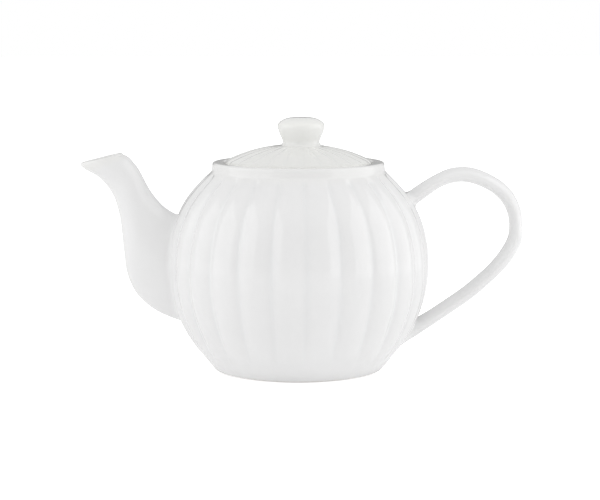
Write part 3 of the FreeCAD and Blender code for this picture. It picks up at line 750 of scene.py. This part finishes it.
class Nodes:
    """Adds nodes to an emptied tree. Any input may be a number, an RGB tuple or a socket."""

    def __init__(self, tree):
        self.tree = tree
        tree.nodes.clear()

    def feed(self, socket, value):
        if isinstance(value, bpy.types.NodeSocket):
            self.tree.links.new(value, socket)
        else:
            socket.default_value = (*value, 1) if isinstance(value, tuple) else value

    def add(self, kind, inputs, **settings):
        node = self.tree.nodes.new(kind)
        for name, value in settings.items():
            setattr(node, name, value)
        for key, value in inputs.items():
            self.feed(node.inputs[key], value)
        return node

    def attribute(self, name):
        return self.add("ShaderNodeAttribute", {}, attribute_name=name).outputs["Fac"]

    def coords(self):
        place = self.add("ShaderNodeTexCoord", {}).outputs["Object"]
        return self.add("ShaderNodeMapping", {"Vector": place}).outputs[0]

    def noise(self, vector, scale, detail, roughness=0.5, distortion=0.0):
        return self.add("ShaderNodeTexNoise", {
            "Vector": vector, "Scale": scale, "Detail": detail, "Roughness": roughness,
            "Distortion": distortion}).outputs["Fac"]

    def ramp(self, factor, stops):
        """stops: (position, colour) from low to high."""
        node = self.add("ShaderNodeValToRGB", {"Fac": factor})
        elements = node.color_ramp.elements
        while len(elements) < len(stops):
            elements.new(0.5)
        for element, (position, colour) in zip(elements, stops):
            element.position = position
            element.color = (*colour, 1)
        return node.outputs["Color"]

    def math(self, operation, a, b):
        return self.add("ShaderNodeMath", {0: a, 1: b}, operation=operation).outputs[0]

    def mix(self, factor, a, b, blend="MIX"):
        # sockets 6 and 7 are the two colours of a Mix node, output 2 its colour
        return self.add("ShaderNodeMix", {0: factor, 6: a, 7: b},
                        data_type="RGBA", blend_type=blend).outputs[2]

    def bump(self, height, strength, distance, normal=None):
        inputs = {"Strength": strength, "Distance": distance, "Height": height}
        if normal is not None:
            inputs["Normal"] = normal
        return self.add("ShaderNodeBump", inputs).outputs[0]

    def step(self, value, low, high, at_low=0.0, at_high=1.0):
        """Smooth step from at_low at low to at_high at high."""
        return self.add("ShaderNodeMapRange", {
            "Value": value, "From Min": low, "From Max": high, "To Min": at_low,
            "To Max": at_high}, interpolation_type="SMOOTHSTEP").outputs[0]

    def blend(self, t, a, b):
        """a where t is 0, b where t is 1."""
        return self.math("ADD", self.math("MULTIPLY", self.math("SUBTRACT", 1.0, t), a),
                         self.math("MULTIPLY", t, b))


def new_material(name):
    material = bpy.data.materials.new(name)
    material.use_nodes = True
    return material, Nodes(material.node_tree)


def finish_material(nodes, inputs):
    """Principled surface with these inputs."""
    surface = nodes.add("ShaderNodeBsdfPrincipled", inputs).outputs[0]
    nodes.add("ShaderNodeOutputMaterial", {"Surface": surface})


# ------------------------------------------------------------------ materials


def tinted(colour, *factors):
    return tuple(c * f for c, f in zip(colour, factors))


def glaze_colour(n, vector, thin, base):
    # cloudy variation of the glaze's thickness, a few centimetres across, and a finer mottling
    cloud = n.ramp(n.noise(vector, scale=26.0, detail=3.0, distortion=0.3), [
        (0.30, tinted(base, 0.985, 0.985, 0.985)), (0.70, tinted(base, 1.012, 1.012, 1.012))])
    mottle = n.ramp(n.noise(vector, scale=210.0, detail=2.0, roughness=0.6), [
        (0.25, (0.990, 0.990, 0.990)), (0.75, (1, 1, 1))])
    colour = n.mix(1.0, cloud, mottle, "MULTIPLY")
    # thick glaze in the grooves is cooler and deeper, thin glaze lets the warm clay through
    colour = n.mix(n.math("MULTIPLY", n.attribute("pool"), 0.30), colour,
                   tinted(base, 0.965, 0.978, 0.985))
    colour = n.mix(n.math("MULTIPLY", thin, 0.22), colour, tinted(base, 0.988, 0.978, 0.915))
    # rare iron specks the size of a pinhead: a dot in few of the cells
    cells = n.add("ShaderNodeTexVoronoi", {"Vector": vector, "Scale": 62.0, "Randomness": 1.0},
                  feature="F1")
    pick = n.add("ShaderNodeSeparateColor", {0: cells.outputs["Color"]}).outputs[0]
    rare = n.math("GREATER_THAN", pick, 0.955)
    dot = n.ramp(cells.outputs["Distance"], [
        (0.0, (1, 1, 1)), (0.018, (0.75, 0.75, 0.75)), (0.030, (0, 0, 0))])
    speck = n.math("MULTIPLY", n.math("MULTIPLY", rare, dot), 0.20)
    return n.mix(speck, colour, (0.48, 0.42, 0.35))


def glaze(name, base):
    material, n = new_material(name)
    vector = n.coords()
    thin = n.attribute("thin")
    patches = n.math("MULTIPLY", n.noise(vector, scale=45.0, detail=2.0), 0.05)
    roughness = n.math("ADD", n.math("ADD", 0.085, patches), n.math("MULTIPLY", thin, 0.05))
    # soft waviness of a dipped glaze, and orange peel
    wave = n.noise(vector, scale=70.0, detail=2.0, roughness=0.45, distortion=0.2)
    peel = n.noise(vector, scale=620.0, detail=2.0)
    waves = n.bump(wave, strength=0.22, distance=0.0009)
    finish_material(n, {
        "Base Color": glaze_colour(n, vector, thin, base),
        "Roughness": roughness,
        "IOR": 1.52,
        "Normal": n.bump(peel, strength=0.10, distance=0.00006, normal=waves),
        "Coat Weight": 0.35,
        "Coat Roughness": 0.04,
        "Coat IOR": 1.5,
        "Coat Normal": n.bump(wave, strength=0.16, distance=0.0009)})
    return material


def bare_clay():
    material, n = new_material("bare_stoneware")
    vector = n.coords()
    patches = n.noise(vector, scale=60.0, detail=4.0, roughness=0.55)
    grog = n.noise(vector, scale=900.0, detail=3.0, roughness=0.65)
    clay = n.ramp(patches, [(0.3, (0.66, 0.61, 0.54)), (0.7, (0.74, 0.70, 0.64))])
    grains = n.ramp(grog, [(0.35, (0.72, 0.70, 0.67)), (0.6, (1, 1, 1))])
    grit = n.bump(grog, strength=0.5, distance=0.00012)
    finish_material(n, {
        "Base Color": n.mix(0.5, clay, grains, "MULTIPLY"),
        "Roughness": 0.82,
        "Normal": n.bump(patches, strength=0.3, distance=0.0003, normal=grit)})
    return material


pot_glaze = glaze("white_glaze", (0.830, 0.829, 0.829))
lid_glaze = glaze("lid_glaze", (0.828, 0.829, 0.809))      # a shade warmer than the pot
knob_glaze_painted_light = glaze("knob_glaze_painted_light", (0.862, 0.863, 0.843))    # the lid's glaze made a little whiter: painted light, brightening the knob as if more light fell on it
clay = bare_clay()

# piece, body it rides on, CAD piece it replaces, slot, material
for piece, body, node, slot, material in (
        (pot, "pot", "pot_body", "white_glaze", pot_glaze),
        (spout, "pot", "spout", "white_glaze", pot_glaze),
        (handle, "pot", "handle", "white_glaze", pot_glaze),
        (foot, "pot", "foot_ring", "bare_clay", clay),
        (lid, "lid", "lid", "lid_glaze", lid_glaze),
        (knob, "lid", "lid_knob", "lid_glaze", knob_glaze_painted_light),
        (tab, "lid", "lid_lock_tab", "lid_glaze", lid_glaze)):
    piece.data.materials.clear()
    piece.data.materials.append(material)
    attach(piece, body)
    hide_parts(node)

# ------------------------------------------------------------------ floor, metres


def paper():
    """White paper. Seen directly it is lifted to the backdrop's white, so that only the contact
    shadow shows."""
    bounce = 0.118            # glow that lights the pot from below
    near_bounce = 0.065       # extra glow close round the pot, so the belly is not too dark
    seen_lift = 0.45
    material, n = new_material("floor_paper")
    is_camera = n.add("ShaderNodeLightPath", {}).outputs["Is Camera Ray"]
    position = n.add("ShaderNodeNewGeometry", {}).outputs["Position"]
    distance = n.add("ShaderNodeVectorMath", {0: position}, operation="LENGTH").outputs["Value"]
    glow = n.step(distance, 0.052, 0.088, at_low=bounce + near_bounce, at_high=bounce)
    unseen = n.math("MULTIPLY", n.math("SUBTRACT", 1.0, is_camera), glow)
    seen = n.math("MULTIPLY", is_camera, seen_lift + bounce)
    finish_material(n, {
        "Base Color": (0.90, 0.90, 0.90),
        "Roughness": 0.9,
        "Specular IOR Level": 0.0,
        "Emission Color": (1, 1, 1),
        "Emission Strength": n.math("ADD", seen, unseen)})
    return material


def make_floor():
    half = 6.0
    mesh = bpy.data.meshes.new("floor")
    mesh.from_pydata([(-half, -half, 0), (half, -half, 0), (half, half, 0), (-half, half, 0)],
                     [], [(0, 1, 2, 3)])
    ob = bpy.data.objects.new("floor", mesh)
    bpy.context.scene.collection.objects.link(ob)
    mesh.materials.append(paper())


# ------------------------------------------------------------------ light tent, metres


def tent_wall(name, x, y_span, z_span, radiance):
    """A lit upright wall facing the pot. Its radiance times its area and pi gives its power."""
    (y0, y1), (z0, z1) = y_span, z_span
    light = bpy.data.lights.new(name, "AREA")
    light.shape = "RECTANGLE"
    light.size, light.size_y = y1 - y0, z1 - z0
    light.energy = radiance * math.pi * (y1 - y0) * (z1 - z0)
    ob = bpy.data.objects.new(name, light)
    ob.location = (x, (y0 + y1) / 2, (z0 + z1) / 2)
    ob.rotation_euler = Vector((-x, 0, 0)).to_track_quat("-Z", "Y").to_euler()
    bpy.context.scene.collection.objects.link(ob)


def make_world():
    """The rest of the tent, by direction: cloth, roof and a dimmer strip low behind the pot.
    The camera itself sees plain white."""
    front_low, front_high = 0.67, 0.70
    rear_left, rear_right = 0.76, 0.73
    roof_front, roof_rear = 0.99, 0.70
    strip = 0.28
    world = bpy.data.worlds.new("studio")
    bpy.context.scene.world = world
    world.use_nodes = True
    n = Nodes(world.node_tree)
    direction = n.add("ShaderNodeTexCoord", {}).outputs["Generated"]
    x, y, z = n.add("ShaderNodeSeparateXYZ", {0: direction}).outputs
    in_strip = n.math("MULTIPLY", n.step(y, 0.86, 0.97),
                      n.math("SUBTRACT", 1.0, n.step(z, 0.14, 0.34)))
    front = n.blend(n.step(z, 0.08, 0.36), front_low, front_high)
    rear = n.blend(n.step(x, -0.35, 0.35), rear_left, rear_right)
    cloth = n.blend(n.step(y, 0.0, 0.5), front, rear)
    roof = n.blend(n.step(y, -0.15, 0.25), roof_front, roof_rear)
    radiance = n.blend(n.step(z, 0.45, 0.85), n.blend(in_strip, cloth, strip), roof)
    tent = n.add("ShaderNodeBackground", {"Color": (1, 1, 1), "Strength": radiance})
    white = n.add("ShaderNodeBackground", {"Color": (1, 1, 1), "Strength": 1.0})
    is_camera = n.add("ShaderNodeLightPath", {}).outputs["Is Camera Ray"]
    mixed = n.add("ShaderNodeMixShader", {0: is_camera, 1: tent.outputs[0], 2: white.outputs[0]})
    n.add("ShaderNodeOutputWorld", {"Surface": mixed.outputs[0]})


# ------------------------------------------------------------------ camera, metres


def make_camera():
    aim_side, distance, height = 0.0009, 1.08315, 0.20532
    data = bpy.data.cameras.new("camera")
    data.lens = 117.0
    data.sensor_width = 36.0
    data.sensor_fit = "HORIZONTAL"
    data.clip_start, data.clip_end = 0.05, 50
    camera = bpy.data.objects.new("camera", data)
    bpy.context.scene.collection.objects.link(camera)
    cos_turn, sin_turn = math.cos(VIEW_TURN), math.sin(VIEW_TURN)
    aim = Vector((aim_side * cos_turn, aim_side * sin_turn, VIEW_AIM_LEVEL * MM))
    back = Vector((sin_turn, -cos_turn, 0.0)) * distance
    camera.location = Vector((aim.x + back.x, aim.y + back.y, height))
    camera.rotation_euler = (aim - camera.location).to_track_quat("-Z", "Y").to_euler()
    bpy.context.scene.camera = camera


make_floor()
tent_wall("tent_wall_left_low", -0.52, (-0.66, 0.16), (0.0, 0.20), radiance=0.50)
tent_wall("tent_wall_left", -0.52, (-0.66, 0.16), (0.20, 0.66), radiance=0.70)
tent_wall("tent_wall_right_low", 0.52, (-0.66, 0.20), (0.0, 0.20), radiance=0.72)
tent_wall("tent_wall_right", 0.52, (-0.66, 0.20), (0.20, 0.70), radiance=0.68)
make_world()
make_camera()

view = bpy.context.scene.view_settings
view.view_transform = "Standard"
view.look = "None"
view.exposure = 0.0
